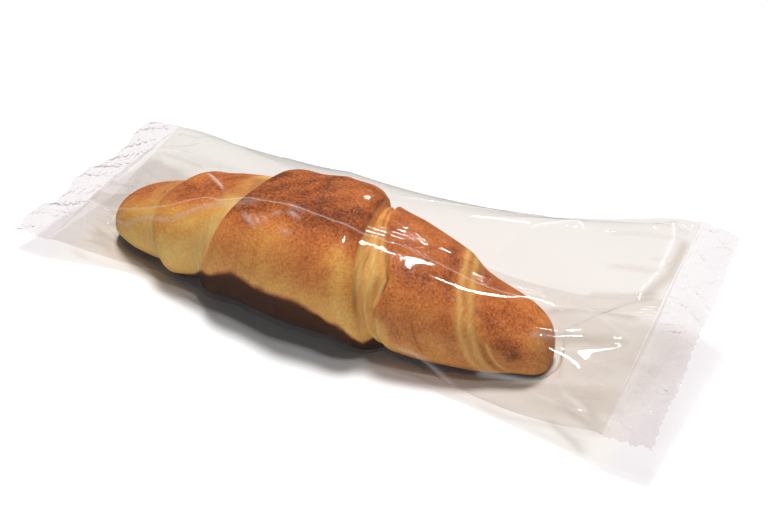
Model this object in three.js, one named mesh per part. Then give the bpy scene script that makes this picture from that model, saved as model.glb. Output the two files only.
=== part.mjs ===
// A croissant sealed in a clear film bag, lying on its underside. Millimetres, +Z up.
// X runs along the croissant and the side shown in use faces -Y. The bag is one closed solid out to
// the film's outer form: film and contents together, with both crimped end seals and the long fin
// seal. The film lies tight over the croissant's front and crown, where the rolled layers press
// through it, and stands off behind the croissant and past both of its tips.
import * as THREE from "three";

// The croissant: a straight spindle, rolled up from one triangle of dough.
const croissant = {
  length: 147,
  width: 50.4,
  height: 38.5,
  shoulder: 1.06, // how soon the spindle starts to taper
  narrowing: [0.416, 0.453], // how fast it narrows towards its left and right tips
  tipFullness: [0.37, 0.4], // how full both blunt tips still are
  tipRounding: 24, // how tightly their ends are rounded off
  bend: [-0.7, 1.05, 0.4, 1.1, 2], // to the back, times the powers of the share of the way to the right tip
  rightSwell: 0.12, // the right half is wider than the left by up to this share
  bellyHeight: 0.4, // height of the widest line, as a share of the height
  squareness: 2.3, // exponent of the cross-section
  baseReach: 1.12, // the underside reaches this much too low, and the table flattens it
  leftLift: 1.7, // how far the left tip curls up off the table
};

// The rolled layers end in lips: two beside the middle lobe and one before each tip. Each faces out
// from the middle, crosses the crown at x and leans outwards in each degree towards the front.
const layers = {
  lips: [
    { out: 1, x: 17, lean: 0.083 },
    { out: -1, x: -20.3, lean: 0.075 },
    { out: 1, x: 46.5, lean: 0.115 },
    { out: -1, x: -50.5, lean: 0 },
  ],
  depth: 3, // how far a layer dips where the lip above it ends
  lipRound: 2, // length over which a lip rounds down
  swell: 8, // length over which the layer under it swells up again
  lobeBulge: 1.3, // how far a lobe swells before its lip
};

// The film tube, by the lines along its folds, each listed from the left seal to the right one.
const film = {
  gap: 1, // film and slack over the crust
  showThrough: 0.6, // share of the depth of the layers that shows in the film
  back: [
    [-96, 45, 11], [-68, 41, 17], [-40, 33, 22], [0, 27, 23], [35, 33, 23], [67, 44, 28],
    [92, 53, 32], [110, 50, 31],
  ],
  front: [
    [-96, -26, 6], [-75, -23, 5], [-45, -16, 3], [0, -13, 1], [35, -15, 2], [60, -23, 3],
    [85, -27, 7.5], [110, -26, 10],
  ],
  // Slack film over the hollow between the back fold and the crown.
  crest: [
    [-96, 24, 10], [-83, 24, 12], [-54, 20, 25], [-30, 16, 32], [0, 15, 35.5], [18, 15, 36],
    [32, 11, 36], [46, 16, 35], [60, 26, 33.5], [80, 32, 32], [97, 34, 28], [110, 34, 26],
  ],
  ridge: [
    [-96, 8, 9], [-83, 6, 12], [-66, -2, 20], [-52, -6, 25], [-38, -8, 30], [0, -12, 34],
    [45, -9, 29], [62, -5, 26], [80, 2, 23.5], [97, 10, 21.5], [110, 12, 21],
  ],
  // Slack film that hangs between the back fold and the table.
  sag: [
    [-96, 26, 10], [-83, 26, 11], [-68, 31, 10], [-30, 27, 11], [0, 25, 11], [32, 30, 11],
    [60, 37, 18], [84, 38, 24], [97, 36, 26], [110, 36, 26],
  ],
  keel: [
    [-96, 8, 8], [-83, 7, 5.5], [-66, 4, 0.8], [-50, 3, 0], [48, 4, 0], [64, 6, 0.5], [80, 8, 7],
    [97, 10, 16], [110, 12, 20],
  ],
};

// Each end of the tube is pressed flat between ribbed jaws and cut off with a toothed blade.
const crimp = {
  width: 13,
  thickness: 1.3,
  ribs: 5,
  ribHeight: 0.35,
  puckers: 2.5, // waves across the seal
  puckerHeight: 1.6,
  tooth: 0.9,
};

// The tube's own long seal: two edges joined back to back and laid flat on the film.
const fin = { width: 6, thickness: 0.9, edge: 1.5 };

const detail = { bodySteps: 50, halfRing: 28, crustSteps: 60 };

const mix = (a, b, t) => a + (b - a) * t;
const halfLength = croissant.length / 2;

// How full the croissant is at x: 1 in the middle, less at its blunt tips and 0 at their ends.
function fullness(x) {
  const side = x < 0 ? 0 : 1;
  const t = Math.min(Math.abs(x) / halfLength, 1);
  const spindle = Math.pow(1 - Math.pow(0.98 * t, croissant.shoulder), croissant.narrowing[side]);
  const blunted = Math.pow(Math.pow(spindle, 6) + Math.pow(croissant.tipFullness[side], 6), 1 / 6);
  return blunted * Math.sqrt(1 - Math.pow(t, croissant.tipRounding));
}

// How far the crust at x dips under the lips, at an angle in degrees from the crown to the front.
// Where a lobe swells before its lip, the dip is negative.
function layerDip(x, angle) {
  let dip = 0;
  let bulge = 0;
  for (const lip of layers.lips) {
    const past = lip.out * (x - lip.x) - lip.lean * angle;
    const share = past < 0 ? 0.4 * Math.exp(past / layers.lipRound) : Math.exp(-past / layers.swell);
    dip = Math.max(dip, share);
    bulge += Math.exp(-Math.pow((past + 5) / 5, 2)) * THREE.MathUtils.smoothstep(-past, 0, 3);
  }
  return dip * layers.depth - bulge * layers.lobeBulge;
}

// The film where it lies on the crust, as [y, z], at x and at an angle from the crown to the front.
function wrappedCrust(x, angle) {
  const full = fullness(x);
  const t = x / halfLength;
  const lift = t < 0 ? croissant.leftLift * Math.pow(t, 4) : 0;
  const swell = 1 + croissant.rightSwell * t;
  const bend = croissant.bend.reduce((sum, far, power) => sum + far * Math.pow(t, power), 0);
  const halfWidth = (croissant.width / 2) * full * swell;
  const height = (croissant.height - lift) * mix(full, Math.sqrt(full), 0.15);
  const belly = croissant.bellyHeight * height;
  const radians = THREE.MathUtils.degToRad(angle);
  const sideways = -Math.sin(radians);
  const upwards = Math.cos(radians);
  const n = croissant.squareness;
  const ring = Math.pow(Math.pow(Math.abs(sideways), n) + Math.pow(Math.abs(upwards), n), -1 / n);
  const reach = upwards > 0 ? height - belly : belly * croissant.baseReach;
  const dip = film.showThrough * layerDip(x, angle) * Math.sqrt(full);
  const y = bend + (halfWidth * ring + film.gap - dip) * sideways;
  const z = lift + belly + (reach * ring + film.gap - dip) * upwards;
  return [y, Math.max(z, 0)];
}

function foldCurve(points) {
  return new THREE.CatmullRomCurve3(points.map((p) => new THREE.Vector3(...p)));
}

const folds = {
  back: foldCurve(film.back),
  front: foldCurve(film.front),
  crest: foldCurve(film.crest),
  ridge: foldCurve(film.ridge),
  sag: foldCurve(film.sag),
  keel: foldCurve(film.keel),
};

// Where a fold crosses the plane at x, as [y, z]. Folds always run on towards +X.
function foldAt(curve, x) {
  let low = 0;
  let high = 1;
  for (let halving = 0; halving < 30; halving++) {
    const middle = (low + high) / 2;
    if (curve.getPoint(middle).x < x) low = middle;
    else high = middle;
  }
  const point = curve.getPoint(low);
  return [point.y, Math.max(point.z, 0)];
}

// The tightest loop round a set of [y, z] points, anticlockwise.
function hull(points) {
  const sorted = [...points].sort((p, q) => p[0] - q[0] || p[1] - q[1]);
  const turn = (o, a, b) => (a[0] - o[0]) * (b[1] - o[1]) - (a[1] - o[1]) * (b[0] - o[0]);
  const chain = (list) => {
    const kept = [];
    for (const p of list) {
      while (kept.length > 1 && turn(kept.at(-2), kept.at(-1), p) <= 1e-9) kept.pop();
      kept.push(p);
    }
    return kept.slice(0, -1);
  };
  return [...chain(sorted), ...chain(sorted.reverse())];
}

// Spaces count + 1 points evenly along a path of [y, z] points.
function spaceEvenly(path, count) {
  const ends = [0];
  for (let i = 1; i < path.length; i++) {
    ends.push(ends[i - 1] + Math.hypot(path[i][0] - path[i - 1][0], path[i][1] - path[i - 1][1]));
  }
  const spaced = [];
  let i = 1;
  for (let step = 0; step <= count; step++) {
    const along = (ends.at(-1) * step) / count;
    while (i < path.length - 1 && ends[i] < along) i++;
    const t = (along - ends[i - 1]) / (ends[i] - ends[i - 1]);
    spaced.push([mix(path[i - 1][0], path[i][0], t), mix(path[i - 1][1], path[i][1], t)]);
  }
  return spaced;
}

// Splits a loop where it passes the back and front folds and spaces each half evenly: over the top
// from the back to the front, then underneath from the front to the back.
function ringOf(loop, back, front) {
  const distance = (p, q) => Math.hypot(p[0] - q[0], p[1] - q[1]);
  const closer = (p, best, q) => distance(p, q) < distance(loop[best], q);
  const nearest = (q) => loop.reduce((best, p, i) => (closer(p, best, q) ? i : best), 0);
  const walk = (from, to) => {
    const path = [loop[from]];
    for (let i = from; i !== to; ) {
      i = (i + 1) % loop.length;
      path.push(loop[i]);
    }
    return path;
  };
  const over = spaceEvenly(walk(nearest(back), nearest(front)), detail.halfRing);
  const under = spaceEvenly(walk(nearest(front), nearest(back)), detail.halfRing);
  return [...over.slice(0, -1), ...under.slice(0, -1)];
}

// Raises the fin seal out of the upper half of a ring, to the front of the ridge.
function raiseFin(ring, ridgeY) {
  for (let i = 1; i < detail.halfRing; i++) {
    const [y, z] = ring[i];
    const fromEdge = fin.width / 2 - Math.abs(ridgeY - fin.width / 2 - y);
    ring[i] = [y, z + fin.thickness * THREE.MathUtils.smoothstep(fromEdge, -fin.edge, fin.edge)];
  }
  return ring;
}

// The tube at x, drawn tight round its folds and the croissant.
function bodyRing(x) {
  const at = Object.fromEntries(Object.entries(folds).map(([name, curve]) => [name, foldAt(curve, x)]));
  const points = Object.values(at);
  if (Math.abs(x) < halfLength) {
    for (let step = 0; step < detail.crustSteps; step++) {
      points.push(wrappedCrust(x, (360 * step) / detail.crustSteps));
    }
  }
  const ring = ringOf(hull(points), at.back, at.front);
  return raiseFin(ring, at.ridge[0]).map(([y, z]) => [x, y, z]);
}

// A flat end seal at x, with ribs along it and slight puckers that grow towards the cut edge.
// inward is 0 at the cut edge and 1 where the tube opens.
function crimpRing(x, inward, onRib, isEdge) {
  const [backY, backZ] = foldAt(folds.back, x);
  const [frontY, frontZ] = foldAt(folds.front, x);
  const half = crimp.thickness / 2 + (onRib ? crimp.ribHeight : 0);
  const ring = [];
  for (let i = 0; i < 2 * detail.halfRing; i++) {
    const over = i < detail.halfRing;
    const t = over ? i / detail.halfRing : 2 - i / detail.halfRing;
    const atCorner = i % detail.halfRing === 0;
    const pucker = crimp.puckerHeight * (1 - inward) * Math.sin(2 * Math.PI * crimp.puckers * t);
    const face = atCorner ? 0 : over ? half : -half;
    const teeth = isEdge && Math.round(t * detail.halfRing) % 2 === 0 ? crimp.tooth : 0;
    ring.push([x - Math.sign(x) * teeth, mix(backY, frontY, t), mix(backZ, frontZ, t) + pucker + face]);
  }
  return ring;
}

function rings() {
  const left = film.back[0][0];
  const right = film.back.at(-1)[0];
  const ribSteps = 2 * crimp.ribs;
  const list = [];
  for (let i = 0; i < ribSteps; i++) {
    list.push(crimpRing(left + (crimp.width * i) / ribSteps, i / ribSteps, i % 2 === 1, i === 0));
  }
  for (let i = 0; i <= detail.bodySteps; i++) {
    list.push(bodyRing(mix(left + crimp.width, right - crimp.width, i / detail.bodySteps)));
  }
  for (let i = ribSteps - 1; i >= 0; i--) {
    list.push(crimpRing(right - (crimp.width * i) / ribSteps, i / ribSteps, i % 2 === 1, i === 0));
  }
  return list;
}

// Skins the rings from left to right and closes both cut edges.
function loft(list) {
  const count = list[0].length;
  const half = count / 2;
  const index = [];
  for (let s = 0; s + 1 < list.length; s++) {
    for (let i = 0; i < count; i++) {
      const a = s * count + i;
      const b = s * count + ((i + 1) % count);
      index.push(a, b, a + count, b, b + count, a + count);
    }
  }
  const last = (list.length - 1) * count;
  for (let i = 0; i < half; i++) {
    const [a, b, c, d] = [i, i + 1, count - i - 1, (count - i) % count];
    if (b !== c) index.push(a, c, b, last + a, last + b, last + c);
    if (a !== d) index.push(a, d, c, last + a, last + c, last + d);
  }
  const geometry = new THREE.BufferGeometry();
  geometry.setAttribute("position", new THREE.Float32BufferAttribute(list.flat(2), 3));
  geometry.setIndex(index);
  return geometry;
}

// Stands the bag on z = 0, centred on the middle of its outline.
function centre(geometry) {
  geometry.computeBoundingBox();
  const middle = geometry.boundingBox.getCenter(new THREE.Vector3());
  geometry.translate(-middle.x, -middle.y, -geometry.boundingBox.min.z);
  return geometry;
}

const clearFilm = new THREE.MeshStandardMaterial({
  name: "clear film",
  color: "#ece6da",
  roughness: 0.1,
  metalness: 0,
  transparent: true,
  opacity: 0.35,
});

const bag = new THREE.Mesh(centre(loft(rings())), clearFilm);
bag.name = "bag";

const group = new THREE.Group();
group.add(bag);

export default group;
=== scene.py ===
import math

import bpy
import numpy as np
from mathutils import Matrix, Vector


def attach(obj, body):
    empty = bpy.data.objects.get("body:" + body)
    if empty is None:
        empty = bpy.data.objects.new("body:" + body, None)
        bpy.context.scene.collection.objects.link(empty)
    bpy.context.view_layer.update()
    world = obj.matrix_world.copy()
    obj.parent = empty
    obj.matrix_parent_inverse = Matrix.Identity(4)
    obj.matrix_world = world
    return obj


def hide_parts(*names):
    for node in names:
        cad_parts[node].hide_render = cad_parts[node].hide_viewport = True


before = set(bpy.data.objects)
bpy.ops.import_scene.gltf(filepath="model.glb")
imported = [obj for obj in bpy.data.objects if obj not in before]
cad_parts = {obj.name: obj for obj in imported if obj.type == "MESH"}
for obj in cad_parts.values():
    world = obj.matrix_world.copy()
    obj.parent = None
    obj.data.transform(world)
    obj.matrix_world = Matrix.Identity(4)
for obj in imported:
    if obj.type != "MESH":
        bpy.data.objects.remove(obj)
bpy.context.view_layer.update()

# ------------------------------------------------------------------------------------ camera
# The view is from the bag's front right, well above the table, through a lens long enough to
# keep the bag's ends nearly parallel. The camera is turned a little, as it was held by hand.
MM = 0.001
view_turn = math.radians(28.3)
view_height = math.radians(33.0)
view_roll = math.radians(2.2)
view_distance = 465 * MM
view_target = Vector((9.8, -5.0, 16.1)) * MM
view_lens = 73.9

towards = Vector((
    math.sin(view_turn) * math.cos(view_height),
    -math.cos(view_turn) * math.cos(view_height),
    math.sin(view_height),
))
level_right = Vector((math.cos(view_turn), math.sin(view_turn), 0))
level_up = towards.cross(level_right)
view_right = math.cos(view_roll) * level_right + math.sin(view_roll) * level_up
view_up = towards.cross(view_right)
bpy.ops.object.camera_add(location=view_target + towards * view_distance)
camera = bpy.context.object
camera.name = "view_camera"
camera.data.lens = view_lens
camera.data.sensor_width = 36
camera.data.clip_start = 0.01
camera.matrix_world = Matrix.Translation(camera.location) @ Matrix(
    (view_right, view_up, towards)).transposed().to_4x4()
bpy.context.scene.camera = camera

# ------------------------------------------------------------------------------------- table
# A plain white table top, large enough to fill every view. It is matt, so that it only takes
# the soft shadow under the bag.


def srgb(red, green, blue, alpha=1.0):
    """A colour as seen on a screen, 0 to 255, as the linear values that shaders take."""
    parts = [c / 255 for c in (red, green, blue)]
    return [c / 12.92 if c <= 0.04045 else ((c + 0.055) / 1.055) ** 2.4 for c in parts] + [alpha]


def new_material(name):
    """An empty node material: its node tree and its output's surface socket."""
    material = bpy.data.materials.new(name)
    material.use_nodes = True
    tree = material.node_tree
    tree.nodes.clear()
    output = tree.nodes.new("ShaderNodeOutputMaterial")
    return material, tree, output.inputs["Surface"]


def add_node(tree, kind, links=None, **values):
    """A node with its sockets set by name from values, and linked from the sockets in links."""
    node = tree.nodes.new(kind)
    for name, value in values.items():
        socket = node.inputs.get(name.replace("_", " "))
        if socket is None:
            setattr(node, name, value)
        else:
            socket.default_value = value
    for name, source in (links or {}).items():
        target = node.inputs[name] if isinstance(name, int) else node.inputs[name.replace("_", " ")]
        tree.links.new(source, target)
    return node


bpy.ops.object.select_all(action="DESELECT")
bpy.ops.mesh.primitive_plane_add(size=6)
table = bpy.context.object
table.name = "table_top"
table_white, tree, surface = new_material("table white")
place = add_node(tree, "ShaderNodeTexCoord")
mottle = add_node(tree, "ShaderNodeTexNoise", {"Vector": place.outputs["Object"]}, Scale=8.0)
tone = add_node(tree, "ShaderNodeValToRGB", {"Fac": mottle.outputs["Fac"]})
tone.color_ramp.elements[0].color = srgb(236, 236, 237)
tone.color_ramp.elements[1].color = srgb(242, 242, 242)
cover = add_node(tree, "ShaderNodeBsdfPrincipled", {"Base_Color": tone.outputs["Color"]}, Roughness=0.7)
tree.links.new(cover.outputs["BSDF"], surface)
table.data.materials.append(table_white)
table.visible_glossy = False  # the film's shine comes from the lamps and the dim room

# ------------------------------------------------------------------------------------ lights
# One strong soft light stands almost overhead and a little behind, so the shadow stays close under
# the croissant and its flanks are lit by the white table and a large pale panel in front. A window
# behind and a lamp overhead draw the streaks in the film, and the rest of the room is dim.


lamp_aim = Vector((0, 0, 0.02))


def soft_panel(name, place, size, watts):
    """A square area light at place, facing the croissant, in metres."""
    bpy.ops.object.light_add(type="AREA", location=place)
    light = bpy.context.object
    light.name = name
    light.data.size = size
    light.data.energy = watts
    light.rotation_euler = (Vector(place) - lamp_aim).to_track_quat("Z", "Y").to_euler()
    return light


sun_height = math.radians(70)
sun_turn = math.radians(212)  # from the front, round by the right
sun_width = math.radians(15)  # how wide the light looks from the bag, which softens the shadow
sun_strength = 3.6
bpy.ops.object.light_add(type="SUN", location=(0, 0, 1))
sun = bpy.context.object
sun.name = "overhead_light"
sun.data.energy = sun_strength
sun.data.angle = sun_width
sun.visible_glossy = False  # the streaks in the film come from the window and the lamp
sun_from = Vector((
    math.sin(sun_turn) * math.cos(sun_height),
    -math.cos(sun_turn) * math.cos(sun_height),
    math.sin(sun_height),
))
sun.rotation_euler = sun_from.to_track_quat("Z", "Y").to_euler()
soft_panel("back_window", (-0.22, 0.95, 0.7), size=0.1, watts=0.7)
soft_panel("overhead_lamp", (0.165, -0.09, 0.99), size=0.09, watts=1.8)
front_panel = soft_panel("front_panel", (0.5, -1.4, 0.3), size=0.8, watts=4.2)
front_panel.visible_glossy = False

room_strength = 0.06
world = bpy.data.worlds.new("room")
bpy.context.scene.world = world
world.use_nodes = True
world.node_tree.nodes["Background"].inputs["Color"].default_value = srgb(225, 232, 245)
world.node_tree.nodes["Background"].inputs["Strength"].default_value = room_strength
bpy.context.scene.view_settings.view_transform = "Standard"
bpy.context.scene.cycles.transparent_max_bounces = 24

# --------------------------------------------------------------------------------- croissant
# A straight croissant of flaky yeast dough, rolled up from one triangle. The last turn makes the
# wide middle lobe, and its two lips wind outwards to the tips; each lip lies over the next layer
# in, which stays pale where it was covered. It is baked brown on top and rests on its underside.
middle = np.array([-7.0, -13.0, 0.0])  # the croissant's middle from the bag's, in mm
croissant_length = 147
half_length = croissant_length / 2
croissant_width = 50.4
croissant_height = 38.5
shoulder = 1.06  # how soon the spindle starts to taper
left_narrowing, right_narrowing = 0.416, 0.453
left_tip_fullness, right_tip_fullness = 0.37, 0.4
tip_rounding = 24
swell_to_right = 0.12
belly_share = 0.4
squareness = 2.3
base_reach = 1.12  # the belly would reach past the table, which flattens the underside
crust_floor = 0.35  # how high the underside lies, with the film under it
crust_girth = 145  # about the way round the middle lobe
left_lift = 1.7  # the left tip curls up a little

# Each lip's course: which way it faces, and its x in mm at angles in degrees from the crown to the
# front. The ends of each course meet on the flat underside.
lips = {
    "middle_right": (1, [(-180, 2), (0, 17), (180, 32)]),
    "middle_left": (-1, [(-180, -16), (-20, -20.2), (5, -20.5), (40, -23.8), (90, -28.5), (180, -37)]),
    "right_end": (1, [(-180, 26), (0, 46.5), (75, 54.5), (180, 66)]),
    "left_end": (-1, [(-180, -46), (-10, -49.6), (30, -51.4), (60, -50.9), (100, -48.4), (180, -44)]),
}
# The layer next to the middle lobe's right lip pulled away from it in the oven. It starts here.
torn_edge = [(-180, 8), (-60, 15.5), (-22, 19.2), (0, 22.6), (16, 25.1), (31, 28.5), (44, 31),
             (58, 30.7), (73, 29.2), (98, 30.7), (112, 32.3), (180, 38)]

# How deep the crust lies at a distance past a lip, in mm. The lip itself rounds down, the layer
# under it starts deep and swells up again.
lip_fall = [(-1.5, 0), (-0.6, -0.2), (0, -0.7), (0.8, -1.4), (2, -1.35), (5, -1.0), (8, -0.6), (14, 0)]
lobe_bulge = 1.3  # how far each lobe swells before its lip
torn_depth = 2.3


def fullness(x):
    """How full the spindle is at x mm, 1 in the middle; both tips are blunt."""
    t = np.minimum(np.abs(x) / half_length, 1)
    narrowing = np.where(x < 0, left_narrowing, right_narrowing)
    at_tip = np.where(x < 0, left_tip_fullness, right_tip_fullness)
    spindle = (1 - (0.98 * t) ** shoulder) ** narrowing
    return (spindle**6 + at_tip**6) ** (1 / 6) * (1 - t**tip_rounding) ** 0.5


def along_course(course, angle):
    at, x = np.array(course, dtype=float).T
    return np.interp(angle, at, x)


def ease(value, low, high):
    t = np.clip((value - low) / (high - low), 0, 1)
    return t * t * (3 - 2 * t)


def past_lip(name, x, angle):
    out, course = lips[name]
    return out * (x - along_course(course, angle))


def across_tear(x, angle):
    """How far x is across the torn strip: 0 at the middle lobe's right lip, 1 at the torn edge."""
    start = along_course(lips["middle_right"][1], angle)
    return (x - start) / (along_course(torn_edge, angle) - start)


def crust_depth(x, angle):
    """How far the crust lies below the plain spindle, in mm, for arrays of x and degrees."""
    depth = np.zeros_like(x)
    for name in lips:
        past = past_lip(name, x, angle)
        if name == "right_end":
            depth -= 2.2 * ease(past, 0, 8) * (1 - ease(past, 10, 26))
            continue
        depth += lobe_bulge * np.exp(-((past + 5) / 5) ** 2) * ease(-past, 0, 3)
        if name != "middle_right":
            where, fall = np.array(lip_fall).T
            depth += np.interp(past, where, fall)
    share = across_tear(x, angle)
    past = past_lip("middle_right", x, angle)
    open_wide = np.exp(-((angle - 52) / 14) ** 2)
    floor = torn_depth - 0.5 * np.cos(share * 13) + 1.1 * open_wide * ease(share, 0.6, 0.95)
    depth -= floor * ease(past, -0.9, 0.9) * (1 - ease(share, 0.9, 1.04))
    depth -= 0.5 * ease(share, 0.95, 1) * (1 - ease(past, 6, 14))
    return depth * np.clip(fullness(x) * 1.25, 0, 1) * (1 - (np.abs(x) / half_length) ** 20)


def crust_point(x, angle, proud=0.0, relief=1.0):
    """The crust at x mm and an angle in degrees from the crown to the front, as y and z in mm."""
    t = x / half_length
    full = fullness(x)
    lift = np.where(t < 0, left_lift * t**4, 0)
    half_width = croissant_width / 2 * full * (1 + swell_to_right * t)
    tall = (croissant_height - lift) * (0.85 * full + 0.15 * np.sqrt(full)) * (1 + 0.02 * t - 0.08 * t**2)
    belly = belly_share * tall
    bend = -0.7 + 1.05 * t + 0.4 * t**2 + 1.1 * t**3 + 2 * t**4
    across = -np.sin(np.radians(angle))
    upwards = np.cos(np.radians(angle))
    ring = (np.abs(across) ** squareness + np.abs(upwards) ** squareness) ** (-1 / squareness)
    reach = np.where(upwards > 0, tall - belly, belly * base_reach)
    more = proud + relief * crust_depth(x, angle)
    y = bend + (half_width * ring + more) * across
    z = lift + belly + (reach * ring + more) * upwards
    return y, np.maximum(z, crust_floor if proud == 0 else 0.0)


bpy.ops.object.select_all(action="DESELECT")
bpy.ops.mesh.primitive_uv_sphere_add(segments=208, ring_count=464, radius=1)
croissant = bpy.context.object
croissant.name = "croissant"
ball = np.empty(len(croissant.data.vertices) * 3)
croissant.data.vertices.foreach_get("co", ball)
ball = ball.reshape(-1, 3)
to_pole = np.arcsin(np.clip(ball[:, 2], -1, 1)) / (math.pi / 2)
crust_x = half_length * np.sign(to_pole) * (1 - (1 - np.abs(to_pole)) ** 1.2)
crust_angle = np.degrees(np.arctan2(-ball[:, 1], ball[:, 0]))
crust_y, crust_z = crust_point(crust_x, crust_angle)
crust = (np.column_stack([crust_x, crust_y, crust_z]) + middle) * MM
croissant.data.vertices.foreach_set("co", crust.ravel())

# The sphere's poles lie along X now; its faces are turned outwards again.
bpy.ops.object.mode_set(mode="EDIT")
bpy.ops.mesh.select_all(action="SELECT")
bpy.ops.mesh.normals_make_consistent(inside=False)
bpy.ops.object.mode_set(mode="OBJECT")
bpy.ops.object.shade_smooth()


def wobble(x, angle, step, seed):
    """Slow seeded noise over the crust, about -1 to 1, with bumps some step mm wide."""
    rng = np.random.default_rng(seed)
    total = np.zeros_like(x)
    around = angle / 360 * crust_girth
    for _ in range(14):
        way = rng.uniform(0, 2 * math.pi)
        wave = 2 * math.pi / (step * rng.uniform(0.7, 1.5))
        turns = max(1, round(abs(math.sin(way)) * wave * crust_girth / (2 * math.pi)))
        wave_around = turns * 2 * math.pi / crust_girth * (1 if rng.random() < 0.5 else -1)
        total += np.sin(math.cos(way) * wave * x + wave_around * around + rng.uniform(0, 6.28))
    return total / 3.7


def store(piece, name, values):
    """A value for each vertex that the material reads by name."""
    layer = piece.data.attributes.new(name, "FLOAT", "POINT")
    layer.data.foreach_set("value", np.asarray(values, dtype=np.float32))


# Pale dough shows past each lip, most on the flanks, where the layers pulled apart in the oven:
# how wide each strip is in mm, how pale, and from which angle down.
edge_wander = wobble(crust_x, crust_angle, 9, 3)
fine_wander = wobble(crust_x, crust_angle, 2.5, 4)
slope = np.abs(crust_angle)
pale = np.zeros_like(crust_x)
# shade is painted shade: it darkens the cracks, the notch, the fold and the crust under a lip
shade = np.zeros_like(crust_x)
strips = {"middle_left": (6.4, 1.0, 20), "left_end": (5.5, 0.8, 46)}
for name, (width, strength, starts) in strips.items():
    past = past_lip(name, crust_x, crust_angle)
    width = width + 0.8 * edge_wander
    inside = ease(past, -0.5, 0.8) * (1 - ease(past, width - 2.2, width + 2.2))
    high = 0.32 * (1 - ease(past, 5, 10)) * ease(past, -0.5, 0.8)
    pale = np.maximum(pale, strength * inside * ease(slope, starts - 14, starts + 8))
    pale = np.maximum(pale, high)

# The torn strip: an orange rim at the top, then pale dough between two cracks, which are darkened with
# painted shade.
share = across_tear(crust_x, crust_angle)
past = past_lip("middle_right", crust_x, crust_angle)
torn = ease(past, -0.3, 0.5) * (1 - ease(share, 0.93, 1.03))
pale = np.maximum(pale, torn * (0.5 + 0.5 * ease(crust_angle, 4, 20)) * (0.8 + 0.2 * np.cos(share * 13)))
near_edge = np.exp(-(((share - 0.99) * 7 + 0.5) / 0.5) ** 2)
shade = np.maximum(shade, near_edge * np.exp(-((crust_angle - 52) / 13) ** 2) * 1.3)
behind_crown = near_edge * np.exp(-((crust_angle + 10) / 17) ** 2)
shade = np.maximum(shade, behind_crown * ease(fine_wander, -0.6, 0.6))
shade = np.maximum(shade, near_edge * 0.45)
line = past - 2.3 + 0.4 * edge_wander
shade = np.maximum(shade, 0.8 * np.exp(-(line / 0.35) ** 2) * np.exp(-((crust_angle - 36) / 9) ** 2))
# painted shade under the middle lobe's right lip
shade_under_lip = 0.7 * np.exp(-((past - 0.4) / 0.4) ** 2)
shade = np.maximum(shade, shade_under_lip * np.exp(-((crust_angle - 70) / 22) ** 2))
lower_rim = ease(share, 0.98, 1.02) * (1 - ease(past, 7.5, 11)) * ease(crust_angle, 74, 84)
pale = np.maximum(pale, 0.75 * lower_rim * (1 - ease(crust_angle, 118, 130)))

# Beside the right end's lip the crust stretched into fine pale streaks.
past = past_lip("right_end", crust_x, crust_angle) + 0.15 * edge_wander
streaks = 0.5 + 0.22 * np.cos(past * 2.1 + 0.2)
pale = np.maximum(pale, streaks * ease(past, -2.5, 0) * (1 - ease(past, 3, 6.5)))
notch = crust_x - (57.6 + 0.11 * (crust_angle - 71))
low_down = ease(crust_angle, 62, 72) * (1 - ease(crust_angle, 112, 122))
pale = np.maximum(pale, 0.8 * np.exp(-((np.abs(notch - 1.2) - 1.6) / 0.5) ** 2) * low_down)
# painted shade in the notch, between its pale edges
shade = np.maximum(shade, 0.45 * np.exp(-((notch - 1.2) / 0.8) ** 2) * low_down)

# A fold in the crust low on the next lobe, darkened along it with painted shade.
fold = crust_x - (40.4 + 0.11 * (crust_angle - 72))
shade = np.maximum(shade, 0.5 * np.exp(-(fold / 0.45) ** 2) * ease(crust_angle, 62, 74)
                   * (1 - ease(crust_angle, 100, 112)))
rim = ease(slope + 4 * edge_wander, 66, 88)
pale = np.maximum(pale, 0.14 * rim)

# Browning: darkest on the crown of the middle lobe, orange on the others, golden down the flanks.
# The middle lobe's belly is painted dark below a ragged line, on the back as well as on the front:
# partly the crust's own dark underside, partly painted shade where the belly hangs over the table.
flank_brown = 0.5
low_brown = 0.3
off_middle = 1 - ease(past_lip("middle_left", crust_x, crust_angle), 0.5, -0.5) * ease(share, 0.03, -0.03)
right_lobe = off_middle * ease(crust_x, 18, 24)
left_lobes = off_middle * ease(crust_x, -14, -24)
top_brown = 0.84 - 0.22 * off_middle + 0.1 * right_lobe
brown = top_brown + (flank_brown - top_brown) * ease(slope, 24, 52)
brown += (low_brown - flank_brown) * ease(slope, 56, 88)
brown += left_lobes * (0.14 * (1 - ease(slope, 12, 30)) - 0.22 * ease(slope, 24, 46))
brown += 0.1 * right_lobe * ease(slope, 62, 84)
beside_tear = np.exp(-((past_lip("middle_right", crust_x, crust_angle) + 3.5) / 3.2) ** 2)
brown -= 0.18 * beside_tear * ease(slope, 24, 50)
brown += 0.12 * off_middle * ease(crust_x, 0, 10) * ease(slope, 20, 50) * (1 - ease(slope, 90, 110))
brown += 0.3 * np.exp(-((crust_x - 67) / 4.5) ** 2 - ((crust_angle - 72) / 17) ** 2)
brown += 0.12 * np.exp(-((past_lip("right_end", crust_x, crust_angle) + 3.5) / 2.5) ** 2)
brown += 0.08 * np.exp(-(fold + 5) ** 2 / 12 - ((crust_angle - 86) / 10) ** 2)
brown -= 0.18 * ease(crust_x, 67.5, 69.5) * (1 - ease(slope, 70, 90))
brown += 0.06 * wobble(crust_x, crust_angle, 18, 5) + 0.035 * wobble(crust_x, crust_angle, 6, 8)
ragged = 1.2 * wobble(crust_x, crust_angle, 17, 11) + 0.6 * wobble(crust_x, crust_angle, 5, 12)
# The line's x in mm and its angle from the crown.
belly_shade_line = [(-45, 128), (-34, 116), (-28, 95), (-17, 84), (-8, 88), (8, 88), (15, 94), (22, 98),
              (26, 118), (34, 130)]
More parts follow.
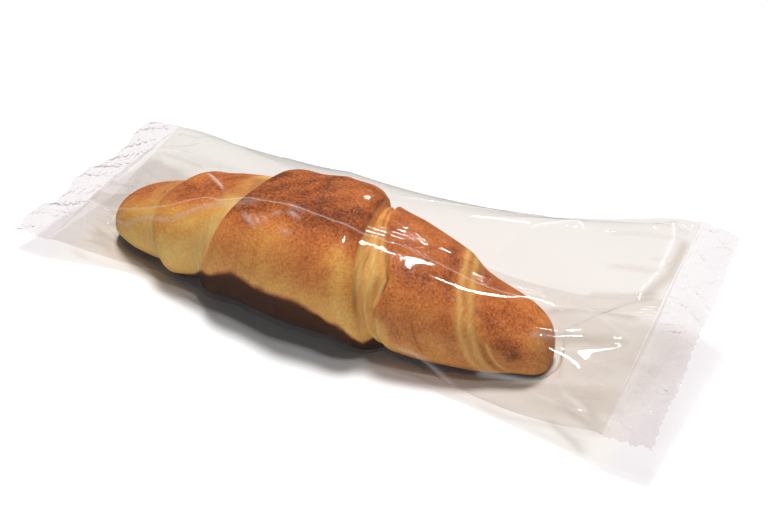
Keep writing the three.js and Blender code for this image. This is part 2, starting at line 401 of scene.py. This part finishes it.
# painted shade: darker below the ragged line, where the belly hangs over the table
painted_belly_shade = ease(slope + ragged - along_course(belly_shade_line, crust_x), -4, 5)
brown = brown * (1 - painted_belly_shade) + 1.05 * painted_belly_shade
pale *= 1 - painted_belly_shade
store(croissant, "pale", pale)
store(croissant, "shade", shade)
store(croissant, "brown", brown)
store(croissant, "belly", painted_belly_shade)

crust_brown, tree, surface = new_material("baked crust")
place = add_node(tree, "ShaderNodeTexCoord")
here = place.outputs["Object"]
baked = add_node(tree, "ShaderNodeAttribute", attribute_name="brown").outputs["Fac"]
covered = add_node(tree, "ShaderNodeAttribute", attribute_name="pale").outputs["Fac"]
crevice_shade = add_node(tree, "ShaderNodeAttribute", attribute_name="shade").outputs["Fac"]
patches = add_node(tree, "ShaderNodeTexNoise", {"Vector": here}, Scale=260.0, Detail=5.0, Roughness=0.6)
specks = add_node(tree, "ShaderNodeTexNoise", {"Vector": here}, Scale=1300.0, Detail=2.0, Roughness=0.65)
along = add_node(tree, "ShaderNodeMapping", {"Vector": here}, Scale=(1.0, 0.12, 0.12))
strands = add_node(tree, "ShaderNodeTexNoise", {"Vector": along.outputs["Vector"]}, Scale=1300.0,
                   Detail=2.0)


def arithmetic(tree, operation, *terms):
    """A Math node on numbers or sockets."""
    node = tree.nodes.new("ShaderNodeMath")
    node.operation = operation
    for place_in, term in enumerate(terms):
        if isinstance(term, (int, float)):
            node.inputs[place_in].default_value = term
        else:
            tree.links.new(term, node.inputs[place_in])
    return node.outputs["Value"]


uneven = arithmetic(tree, "MULTIPLY_ADD", patches.outputs["Fac"], 0.2, -0.1)
speckled = arithmetic(tree, "MULTIPLY_ADD", specks.outputs["Fac"], 0.8, -0.4)
toast = arithmetic(tree, "ADD", arithmetic(tree, "ADD", baked, uneven), speckled)
ramp = add_node(tree, "ShaderNodeValToRGB", {"Fac": toast})
crust_tones = [(0.0, (252, 214, 124)), (0.25, (246, 184, 94)), (0.5, (230, 148, 78)),
               (0.7, (206, 120, 64)), (0.88, (160, 88, 48)), (1.0, (120, 62, 36))]
ramp.color_ramp.elements[0].color = srgb(*crust_tones[0][1])
ramp.color_ramp.elements[1].color = srgb(*crust_tones[-1][1])
for stop, colour in crust_tones[1:-1]:
    ramp.color_ramp.elements.new(stop).color = srgb(*colour)
dough = add_node(tree, "ShaderNodeValToRGB", {"Fac": strands.outputs["Fac"]})
dough.color_ramp.elements[0].position = 0.3
dough.color_ramp.elements[0].color = srgb(238, 184, 100)
dough.color_ramp.elements[1].position = 0.62
dough.color_ramp.elements[1].color = srgb(248, 208, 128)
lifted = add_node(tree, "ShaderNodeMix", data_type="RGBA")
tree.links.new(covered, lifted.inputs["Factor"])
tree.links.new(ramp.outputs["Color"], lifted.inputs["A"])
tree.links.new(dough.outputs["Color"], lifted.inputs["B"])
gap = add_node(tree, "ShaderNodeMix", data_type="RGBA")
# painted shade: cracks, the notch, the fold and the crust under a lip are mixed towards this dark brown
tree.links.new(arithmetic(tree, "MULTIPLY", crevice_shade, 0.75), gap.inputs["Factor"])
tree.links.new(lifted.outputs["Result"], gap.inputs["A"])
gap.inputs["B"].default_value = srgb(110, 52, 24)
# painted shade: the belly's dark brown stands in partly for the shadow under it
under = add_node(tree, "ShaderNodeMix", data_type="RGBA")
belly_shade_here = add_node(tree, "ShaderNodeAttribute", attribute_name="belly").outputs["Fac"]
tree.links.new(belly_shade_here, under.inputs["Factor"])
tree.links.new(gap.outputs["Result"], under.inputs["A"])
under.inputs["B"].default_value = srgb(84, 52, 28)
grain = arithmetic(tree, "MULTIPLY_ADD", strands.outputs["Fac"], covered, specks.outputs["Fac"])
relief = add_node(tree, "ShaderNodeBump", {"Height": grain}, Strength=0.6, Distance=0.0004)
bread = add_node(tree, "ShaderNodeBsdfPrincipled",
                 {"Base_Color": under.outputs["Result"], "Normal": relief.outputs["Normal"]},
                 Roughness=0.5)
bread.inputs["Specular IOR Level"].default_value = 0.35
bread.inputs["Coat Weight"].default_value = 0.08
bread.inputs["Coat Roughness"].default_value = 0.3
tree.links.new(bread.outputs["BSDF"], surface)
croissant.data.materials.append(crust_brown)
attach(croissant, "root")
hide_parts("bag")

# -------------------------------------------------------------------------------------- film
# One sheet of clear film, wrapped round the croissant into a tube. It is drawn tight over the
# front and the crown and stands off behind, where its folded back edge hangs free. Both ends run
# out flat into the seals.
film_gap = 0.8
film_floor = 0.12  # how high the film lies over the table
ring_floor = 0.15  # the same before it settles
seal_width = 13
left_end, right_end = -96, 110
fold_lines = {
    "back": [(-96, 45, 11), (-68, 43, 18), (-45, 38, 23), (-11, 34, 28), (20, 36, 25), (67, 46, 30),
             (92, 53, 32), (110, 50, 31)],
    "front": [(-96, -26, 6), (-75, -24, 6), (-45, -17, 5), (20, -12, 2), (60, -24, 5), (85, -27, 9),
              (110, -26, 10)],
    "ridge": [(-96, 8, 9), (-83, 6, 12), (-66, -1, 24), (-40, -6, 34), (20, -8, 36), (55, -2, 32),
              (80, 2, 27), (97, 10, 22), (110, 12, 21)],
    "keel": [(-96, 8, 8), (-83, 7, 5.5), (-66, 4, 0.5), (0, 2, 0), (64, 6, 0.5), (80, 8, 4),
             (97, 10, 16), (110, 12, 20)],
}


def fold_at(name, x):
    """Where a fold line crosses x, as y and z in mm, on a smooth curve through its points."""
    points = np.array(fold_lines[name], dtype=float)
    slopes = np.gradient(points[:, 1:], points[:, 0], axis=0)
    i = int(np.clip(np.searchsorted(points[:, 0], x) - 1, 0, len(points) - 2))
    span = points[i + 1, 0] - points[i, 0]
    t = np.clip((x - points[i, 0]) / span, 0, 1)
    start, end = points[i, 1:], points[i + 1, 1:]
    return (start * (1 + 2 * t) * (1 - t) ** 2 + end * t * t * (3 - 2 * t)
            + slopes[i] * span * t * (1 - t) ** 2 + slopes[i + 1] * span * t * t * (t - 1))


def hull(points):
    """The tightest loop round points in a plane, anticlockwise."""
    points = sorted(map(tuple, points))

    def chain(run):
        kept = []
        for p in run:
            while len(kept) > 1 and ((kept[-1][0] - kept[-2][0]) * (p[1] - kept[-2][1])
                                     <= (kept[-1][1] - kept[-2][1]) * (p[0] - kept[-2][0])):
                kept.pop()
            kept.append(p)
        return kept[:-1]

    return np.array(chain(points) + chain(points[::-1]))


def spaced(path, count):
    """count + 1 points evenly along a path."""
    run = np.concatenate([[0], np.cumsum(np.linalg.norm(np.diff(path, axis=0), axis=1))])
    at = np.linspace(0, run[-1], count + 1)
    return np.column_stack([np.interp(at, run, path[:, 0]), np.interp(at, run, path[:, 1])])


def walk(loop, start, end):
    """The stretch of a loop from one of its corners on to another."""
    stop = end if end > start else end + len(loop)
    return loop[np.arange(start, stop + 1) % len(loop)]


half_ring = 60
stations = 141
tube_girth = 152
tube_cut = 188  # length of film between the seals, more than the way between them


def tube_ring(x):
    """The tube at x, as y and z in mm: over the top from the back fold, then back underneath."""
    folds = {name: fold_at(name, x) for name in fold_lines}
    outline = list(folds.values())
    if abs(x) < half_length:
        angles = np.arange(0, 360, 3.0)
        y, z = crust_point(np.full_like(angles, x), angles, proud=film_gap, relief=0.45)
        outline += list(np.column_stack([y, z]))
    outline = np.array(outline)
    outline[:, 1] = np.maximum(outline[:, 1], ring_floor)
    loop = hull(outline)
    back = int(np.argmin(np.linalg.norm(loop - folds["back"], axis=1)))
    front = int(np.argmin(np.linalg.norm(loop - folds["front"], axis=1)))
    over = spaced(walk(loop, back, front), half_ring)
    under = spaced(walk(loop, front, back), half_ring)
    return np.vstack([over[:-1], under[:-1]])


def set_points(piece, points):
    piece.data.vertices.foreach_set("co", np.asarray(points, dtype=float).ravel())
    piece.data.update()


def grid_places(piece):
    """Each point of a fresh 2 by 2 grid, as shares of its way along X and along Y."""
    flat = np.empty(len(piece.data.vertices) * 3)
    piece.data.vertices.foreach_get("co", flat)
    flat = flat.reshape(-1, 3)
    return (flat[:, 0] + 1) / 2, (flat[:, 1] + 1) / 2


tube_x = np.linspace(left_end + seal_width, right_end - seal_width, stations)
tube = np.array([np.column_stack([np.full(2 * half_ring, x), tube_ring(x)]) for x in tube_x])

bpy.ops.object.select_all(action="DESELECT")
bpy.ops.mesh.primitive_grid_add(x_subdivisions=2 * half_ring, y_subdivisions=stations - 1, size=2)
film = bpy.context.object
film.name = "settling_film"
around, along_tube = grid_places(film)
film_column = np.rint(around * 2 * half_ring).astype(int) % (2 * half_ring)
film_row = np.rint(along_tube * (stations - 1)).astype(int)
store(film, "column", film_column)
store(film, "row", film_row)
set_points(film, tube[film_row, film_column])
bpy.ops.object.mode_set(mode="EDIT")
bpy.ops.mesh.select_all(action="SELECT")
bpy.ops.mesh.remove_doubles(threshold=0.00001)
bpy.ops.mesh.normals_make_consistent(inside=False)
bpy.ops.object.mode_set(mode="OBJECT")


def stored(piece, name):
    layer = piece.data.attributes[name]
    values = np.empty(len(layer.data), dtype=np.float32)
    layer.data.foreach_get("value", values)
    return values


film_column = np.rint(stored(film, "column")).astype(int)
film_row = np.rint(stored(film, "row")).astype(int)

# The film settles by simulation, ten times too large so that it stays in the solver's range. Its
# unstretched form is the flat tube that it was made as, and both rows at the seals are held.
SIM = 0.01
flat_back = 40  # where the flat tube's back edge starts, in mm
core_skin = 0.008
ground_skin = 0.003
settle_frames = 14
share = film_column / half_ring
over = np.where(share <= 1, share, 2 - share)
level = np.where(share % 1 == 0, 0, np.where(share < 1, 0.3, -0.3))
flat_form = np.column_stack([
    tube_x[0] + tube_cut * film_row / (stations - 1), flat_back - tube_girth / 2 * over, level])
set_points(film, tube[film_row, film_column] * SIM)
film.shape_key_add(name="Basis")
as_made = film.shape_key_add(name="as made")
as_made.data.foreach_set("co", (flat_form * SIM).ravel())
as_made.value = 0
held = film.vertex_groups.new(name="held")
held.add([int(i) for i in np.flatnonzero((film_row == 0) | (film_row == stations - 1))], 1.0, "REPLACE")

bpy.ops.object.select_all(action="DESELECT")
bpy.ops.mesh.primitive_uv_sphere_add(segments=64, ring_count=100, radius=1)
core = bpy.context.object
ball = np.empty(len(core.data.vertices) * 3)
core.data.vertices.foreach_get("co", ball)
ball = ball.reshape(-1, 3)
core_x = half_length * np.clip(ball[:, 2], -1, 1)
core_y, core_z = crust_point(core_x, np.degrees(np.arctan2(-ball[:, 1], ball[:, 0])), 0.01, 0.9)
set_points(core, np.column_stack([core_x, core_y, core_z]) * SIM)
bpy.ops.object.mode_set(mode="EDIT")
bpy.ops.mesh.select_all(action="SELECT")
bpy.ops.mesh.normals_make_consistent(inside=False)
bpy.ops.object.mode_set(mode="OBJECT")
bpy.ops.mesh.primitive_plane_add(size=6)
ground = bpy.context.object
for solid, skin in ((core, core_skin), (ground, ground_skin)):
    solid.modifiers.new("Collision", "COLLISION")
    solid.collision.thickness_outer = skin
    solid.collision.cloth_friction = 5

cloth = film.modifiers.new("Cloth", "CLOTH")
cloth.settings.quality = 7
cloth.settings.mass = 0.15
cloth.settings.air_damping = 3
cloth.settings.tension_stiffness = 60
cloth.settings.compression_stiffness = 60
cloth.settings.shear_stiffness = 30
cloth.settings.bending_stiffness = 12
cloth.settings.tension_damping = 10
cloth.settings.compression_damping = 10
cloth.settings.shear_damping = 10
cloth.settings.bending_damping = 1
cloth.settings.vertex_group_mass = "held"
cloth.settings.rest_shape_key = as_made
cloth.settings.use_pressure = True
cloth.settings.uniform_pressure_force = 0.3
cloth.settings.effector_weights.gravity = 0.3
cloth.collision_settings.distance_min = 0.006
cloth.collision_settings.collision_quality = 3
cloth.point_cache.frame_start = 1
cloth.point_cache.frame_end = settle_frames + 1
for frame_number in range(1, settle_frames + 1):
    bpy.context.scene.frame_set(frame_number)
settled = film.evaluated_get(bpy.context.evaluated_depsgraph_get()).to_mesh()
settled_points = np.empty(len(settled.vertices) * 3)
settled.vertices.foreach_get("co", settled_points)
settled_points = settled_points.reshape(-1, 3) / SIM
film.modifiers.remove(cloth)
film.shape_key_clear()
bpy.context.scene.frame_set(1)
for solid in (core, ground):
    bpy.data.objects.remove(solid)
tube[film_row, film_column] = settled_points
smoothing_rounds = 3
for _ in range(smoothing_rounds):
    beside = (np.roll(tube, 1, axis=1) + np.roll(tube, -1, axis=1)) / 2
    tube[1:-1] = (2 * tube[1:-1] + beside[1:-1] + (tube[:-2] + tube[2:]) / 2) / 4
tube[..., 2] = np.maximum(tube[..., 2], film_floor)

# The right end was cut askew: its front corner reaches further out than its back one.
right_skew = 5.5


def skewed(x, front_share):
    return x + right_skew * front_share * ease(x, 60, right_end)


front_share = 1 - np.abs(1 - np.arange(2 * half_ring) / half_ring)
tube[..., 0] = skewed(tube[..., 0], front_share)


def refined(points, axis, closed):
    """Twice as many points along an axis, the new ones on a smooth curve between their neighbours."""
    points = np.moveaxis(points, axis, 0)
    if closed:
        before, after, beyond = (np.roll(points, shift, axis=0) for shift in (1, -1, -2))
        between = (9 * (points + after) - before - beyond) / 16
        out = np.stack([points, between], axis=1).reshape(-1, *points.shape[1:])
    else:
        padded = np.concatenate([2 * points[:1] - points[1:2], points, 2 * points[-1:] - points[-2:-1]])
        between = (9 * (padded[1:-2] + padded[2:-1]) - padded[:-3] - padded[3:]) / 16
        out = np.empty((2 * len(points) - 1, *points.shape[1:]))
        out[::2], out[1::2] = points, between
    return np.moveaxis(out, 0, axis)


fine_tube = refined(refined(tube, 0, closed=False), 1, closed=True)
fine_rows, fine_columns = fine_tube.shape[:2]
along_run = np.gradient(fine_tube, axis=0)
round_run = np.roll(fine_tube, -1, axis=1) - np.roll(fine_tube, 1, axis=1)
tube_outwards = np.cross(round_run, along_run)
tube_outwards /= np.linalg.norm(tube_outwards, axis=2, keepdims=True)
tube_outwards *= np.sign(tube_outwards[:, fine_columns // 4, 2].mean())

# Places on the tube are x in mm and the share of the way over the top from the back fold, 0, to the
# front fold, 1, and on underneath, to 2.
half_round = tube_girth / 2
place_x = fine_tube[..., 0]
place_v = np.broadcast_to(np.arange(fine_columns) * 2 / fine_columns, place_x.shape) * half_round


def along_path(path, x, v, end_fade):
    """Distance from each place to a path over the film in mm, and how far inside its ends it is."""
    nearest = np.full(x.shape, 1e9)
    inside = np.zeros(x.shape)
    path = np.array([(at, share * half_round) for at, share in path])
    lengths = np.linalg.norm(np.diff(path, axis=0), axis=1)
    starts = np.concatenate([[0], np.cumsum(lengths)])
    for i, length in enumerate(lengths):
        way = (path[i + 1] - path[i]) / length
        t = np.clip((x - path[i, 0]) * way[0] + (v - path[i, 1]) * way[1], 0, length)
        gap = np.hypot(x - path[i, 0] - t * way[0], v - path[i, 1] - t * way[1])
        closer = gap < nearest
        nearest[closer] = gap[closer]
        run = (starts[i] + t)[closer]
        inside[closer] = ease(np.minimum(run, starts[-1] - run), 0, end_fade)
    return nearest, inside


# The larger folds in the film: the path, its half width and height in mm, how white the strained
# film is along it, and how much darker the doubled film is.
creases = [
    # from the left seal down over the left lobes
    ([(-83, 0.74), (-62, 0.83), (-42, 0.72), (-27, 0.55), (-12, 0.48)], 0.9, 0.4, 0.3, 0.3),
    ([(-42, 0.44), (-34, 0.47), (-27, 0.5)], 0.6, 0.3, 0.8, 0.0),
    # slack film behind the crown
    ([(-30, 0.1), (0, 0.17), (28, 0.17), (50, 0.1)], 0.7, 0.3, 0.0, 0.7),
    ([(19, 0.27), (33, 0.23), (60, 0.14)], 0.7, 0.4, 0.7, 0.0),
    ([(56, 0.3), (63, 0.2), (66, 0.14), (71, 0.23)], 0.8, 0.4, 0.8, 0.0),
    # the pouch at the right end
    ([(89, 0.02), (93, 0.15), (94, 0.3), (92, 0.46)], 0.9, 0.9, 0.9, 0.0),
    ([(96, 0.1), (97, 0.3), (93, 0.47)], 1.6, 0.6, 0.0, 0.7),
    ([(72, 0.63), (80, 0.59), (97, 0.52)], 0.8, 0.4, 0.0, 0.7),
    ([(70, 0.72), (78, 0.7), (97, 0.62)], 1.3, 0.6, 0.3, 0.8),
    ([(60, 0.9), (75, 0.88), (97, 0.8)], 1.2, 0.6, 0.4, 0.4),
    # the front fold beside the right lobes
    ([(36, 0.88), (46, 0.93), (58, 0.98)], 1.0, 0.4, 0.4, 0.0),
]
crumple_creases = 9  # a crumpled spot over the middle lobe's left half
seal_creases = 22  # gathers that run in from each end seal
crease_fade = 4.0  # how far from its ends a crease fades out, in mm
crumple = np.random.default_rng(9)
for _ in range(crumple_creases):
    x, share = crumple.uniform(-18, -2), crumple.uniform(0.45, 0.56)
    creases.append(([(x, share), (x + crumple.uniform(4, 9), share + crumple.uniform(-0.04, 0.04))],
                    0.7, crumple.uniform(0.3, 0.55), crumple.uniform(0.3, 0.7), 0.0))
crease_draw = np.random.default_rng(21)
for end, inward in ((tube_x[0], 1), (tube_x[-1], -1)):
    for _ in range(seal_creases):
        share = crease_draw.uniform(0.04, 1.96)
        length = crease_draw.uniform(7, 26)
        drift = crease_draw.uniform(-0.09, 0.09)
        creases.append(([(end, share), (end + inward * length, share + drift)],
                        crease_draw.uniform(0.6, 1.2), crease_draw.uniform(-0.5, 0.6),
                        crease_draw.uniform(0, 0.5), crease_draw.uniform(0, 0.5)))
lift = np.zeros(place_x.shape)
white = np.zeros(place_x.shape)
dim = np.zeros(place_x.shape)
for path, width, height, whitening, dimming in creases:
    gap, inside = along_path(path, place_x, place_v, crease_fade)
    ridge = np.exp(-(gap / width) ** 2) * inside
    lift += height * ridge
    white = np.maximum(white, whitening * np.exp(-(gap / (0.75 * width)) ** 2) * inside)
    dim = np.maximum(dim, dimming * ridge)
lift *= ease(np.minimum(place_x - tube_x[0], tube_x[-1] - place_x), 0, 3)
fine_tube += tube_outwards * lift[..., None]
fine_tube[..., 2] = np.maximum(fine_tube[..., 2], film_floor)
bpy.data.objects.remove(film)

bpy.ops.object.select_all(action="DESELECT")
bpy.ops.mesh.primitive_grid_add(x_subdivisions=fine_columns, y_subdivisions=fine_rows - 1, size=2)
film = bpy.context.object
film.name = "film_tube"
around, along_tube = grid_places(film)
column = np.rint(around * fine_columns).astype(int) % fine_columns
row = np.rint(along_tube * (fine_rows - 1)).astype(int)
store(film, "white", white[row, column])
store(film, "dim", dim[row, column])
set_points(film, (fine_tube[row, column] + middle) * MM)
bpy.ops.object.mode_set(mode="EDIT")
bpy.ops.mesh.select_all(action="SELECT")
bpy.ops.mesh.remove_doubles(threshold=0.00001)
bpy.ops.mesh.normals_make_consistent(inside=False)
bpy.ops.object.mode_set(mode="OBJECT")
bpy.ops.object.shade_smooth()


doubled_tint = srgb(214, 202, 190)
face_mirror = 0.03  # how much the film mirrors face on
edge_mirror = 0.28  # how much more at the lowest angle
strain_milk = 0.5  # how milky the most strained film is


def film_material(name, tint, haze, ripple, ripple_scale):
    """Clear plastic film: see-through face on, mirror-like at a low angle, a little milky."""
    material, tree, surface = new_material(name)
    place = add_node(tree, "ShaderNodeTexCoord")
    waves = add_node(tree, "ShaderNodeTexNoise", {"Vector": place.outputs["Object"]}, Scale=ripple_scale,
                     Detail=3.0)
    bump = add_node(tree, "ShaderNodeBump", {"Height": waves.outputs["Fac"]}, Strength=ripple,
                    Distance=0.002)
    dimmed = add_node(tree, "ShaderNodeMix", data_type="RGBA")
    dim_here = add_node(tree, "ShaderNodeAttribute", attribute_name="dim").outputs["Fac"]
    tree.links.new(dim_here, dimmed.inputs["Factor"])
    dimmed.inputs["A"].default_value = srgb(*tint)
    dimmed.inputs["B"].default_value = doubled_tint
    clear = add_node(tree, "ShaderNodeBsdfTransparent", {"Color": dimmed.outputs["Result"]})
    gloss = add_node(tree, "ShaderNodeBsdfGlossy", {"Normal": bump.outputs["Normal"]}, Roughness=0.06,
                     Color=(1, 1, 1, 1))
    milk = add_node(tree, "ShaderNodeBsdfDiffuse", Color=srgb(250, 248, 248))
    slant = add_node(tree, "ShaderNodeLayerWeight", {"Normal": bump.outputs["Normal"]}, Blend=0.5)
    glancing = arithmetic(tree, "POWER", slant.outputs["Facing"], 4.0)
    mirror = arithmetic(tree, "MULTIPLY_ADD", glancing, edge_mirror, face_mirror)
    strained = add_node(tree, "ShaderNodeAttribute", attribute_name="white").outputs["Fac"]
    milkiness = arithmetic(tree, "MULTIPLY_ADD", strained, strain_milk, haze)
    see = add_node(tree, "ShaderNodeMixShader", {"Fac": milkiness, 1: clear.outputs[0], 2: milk.outputs[0]})
    skin = add_node(tree, "ShaderNodeMixShader", {"Fac": mirror, 1: see.outputs[0], 2: gloss.outputs[0]})
    tree.links.new(skin.outputs[0], surface)
    return material


clear_film = film_material("clear film", (247, 244, 241), 0.006, 0.12, 60.0)
film.data.materials.append(clear_film)
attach(film, "root")
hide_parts("bag")

# --------------------------------------------------------------------------------- end seals
# At each end both walls of the tube are pressed together between hot ribbed jaws, which leaves
# fine ribs along the seal, and cut off with a toothed blade. The cooled seal puckers.
rib_pitch = 1.3
rib_height = 0.22
tooth_pitch = 2.4
tooth_depth = 0.7
seal_length = 78  # about the flat width of the film
pucker_height = 1.6
flutter_height = 0.5
crush_height = 0.65
crinkled_film = film_material("crimped film", (241, 236, 236), 0.1, 0.9, 330.0)
for name, outer, inward in (("left_end_seal", left_end, 1), ("right_end_seal", right_end, -1)):
    bpy.ops.object.select_all(action="DESELECT")
    bpy.ops.mesh.primitive_grid_add(x_subdivisions=60, y_subdivisions=320, size=2)
    seal = bpy.context.object
    seal.name = name
    inwards, across = grid_places(seal)
    x = outer + inward * seal_width * inwards
    ends = np.array([[fold_at("back", v), fold_at("front", v)] for v in np.unique(x)])
    spot = np.searchsorted(np.unique(x), x)
    yz = ends[spot, 0] * (1 - across[:, None]) + ends[spot, 1] * across[:, None]
    run = across * seal_length
    cut = np.abs((run / tooth_pitch) % 1 - 0.5) * 2 * tooth_depth
    loose = 1 - inwards
    x = x + inward * cut * loose**3
    ribs = rib_height * np.cos(2 * math.pi * inwards * seal_width / rib_pitch) * ease(inwards, 0, 0.1)
    pucker = pucker_height * loose * np.sin(2 * math.pi * (2.5 * across + 0.08 * np.sin(9 * across)))
    pucker += flutter_height * (0.4 + 0.6 * loose) * np.sin(2 * math.pi * 9 * across + 5 * inwards)
    z = yz[:, 1] + ribs + pucker
    seed = 31 if inward > 0 else 32
    crushed = 1 - np.abs(wobble(run, 360 * inwards * seal_width / crust_girth, 4.5, seed))
    z = z + crush_height * crushed * ease(inwards, 0, 0.15) * ease(1 - inwards, 0, 0.2)
    z = np.maximum(z, film_floor)
    placed = np.column_stack([skewed(x, across) if inward < 0 else x, yz[:, 0], z])
    set_points(seal, (placed + middle) * MM)
    bpy.ops.object.shade_smooth()
    seal.data.materials.append(crinkled_film)
    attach(seal, "root")
    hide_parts("bag")

# ---------------------------------------------------------------------------------- fin seal
# The tube's two long edges are sealed face to face into a fin, which is laid flat along the top of
# the film, towards the front, and runs into both end seals. Wheels left fine lines along it.
fin_width = 6
fin_steps = 24
fin_rows = 420
fin_gap = 0.3
fin_flutter = 1.1  # how far its free edge lifts
line_height = 0.06
line_pitch = 1.1
bpy.ops.object.select_all(action="DESELECT")
bpy.ops.mesh.primitive_grid_add(x_subdivisions=fin_steps, y_subdivisions=fin_rows, size=2)
fin = bpy.context.object
fin.name = "fin_seal"
out, run = grid_places(fin)
# Its fold follows this course, as x in mm and the share of the way from the back to the front fold.
fin_course = [(-96, 0.54), (-72, 0.69), (-52, 0.67), (-28, 0.46), (-8, 0.39), (28, 0.42), (46, 0.52),
              (66, 0.53), (84, 0.51), (97, 0.4)]
course_x, course_share = np.array(fin_course).T
row = run * (stations - 1)
root = np.interp(tube_x, course_x, course_share)
root = np.convolve(np.pad(root, 6, mode="edge"), np.ones(13) / 13, mode="valid")
column = np.interp(row, np.arange(stations), root) * half_ring + out * fin_width / (half_round / half_ring)
low_row = np.minimum(row.astype(int), stations - 2)
low_column = column.astype(int)
row_part = (row - low_row)[:, None]
column_part = (column - low_column)[:, None]
spot = ((1 - row_part) * (1 - column_part) * tube[low_row, low_column]
        + (1 - row_part) * column_part * tube[low_row, low_column + 1]
        + row_part * (1 - column_part) * tube[low_row + 1, low_column]
        + row_part * column_part * tube[low_row + 1, low_column + 1])
set_points(fin, spot)
bpy.ops.object.mode_set(mode="EDIT")
bpy.ops.mesh.select_all(action="SELECT")
bpy.ops.mesh.normals_make_consistent(inside=False)
bpy.ops.object.mode_set(mode="OBJECT")
outwards = np.empty(len(fin.data.vertices) * 3)
fin.data.vertices.foreach_get("normal", outwards)
outwards = outwards.reshape(-1, 3)
outwards *= np.sign(outwards[:, 2].mean())
flutter = 0.5 + 0.5 * np.sin(run * 21 + 2 * np.sin(run * 9))
lines = line_height * np.cos(out * fin_width / line_pitch * 2 * math.pi)
lift = fin_gap + fin_flutter * out**2 * flutter + lines
set_points(fin, (spot + outwards * lift[:, None] + middle) * MM)
bpy.ops.object.shade_smooth()
store(fin, "white", 0.55 * ease(out, 0.9, 1))
fin.data.materials.append(clear_film)
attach(fin, "root")
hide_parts("bag")
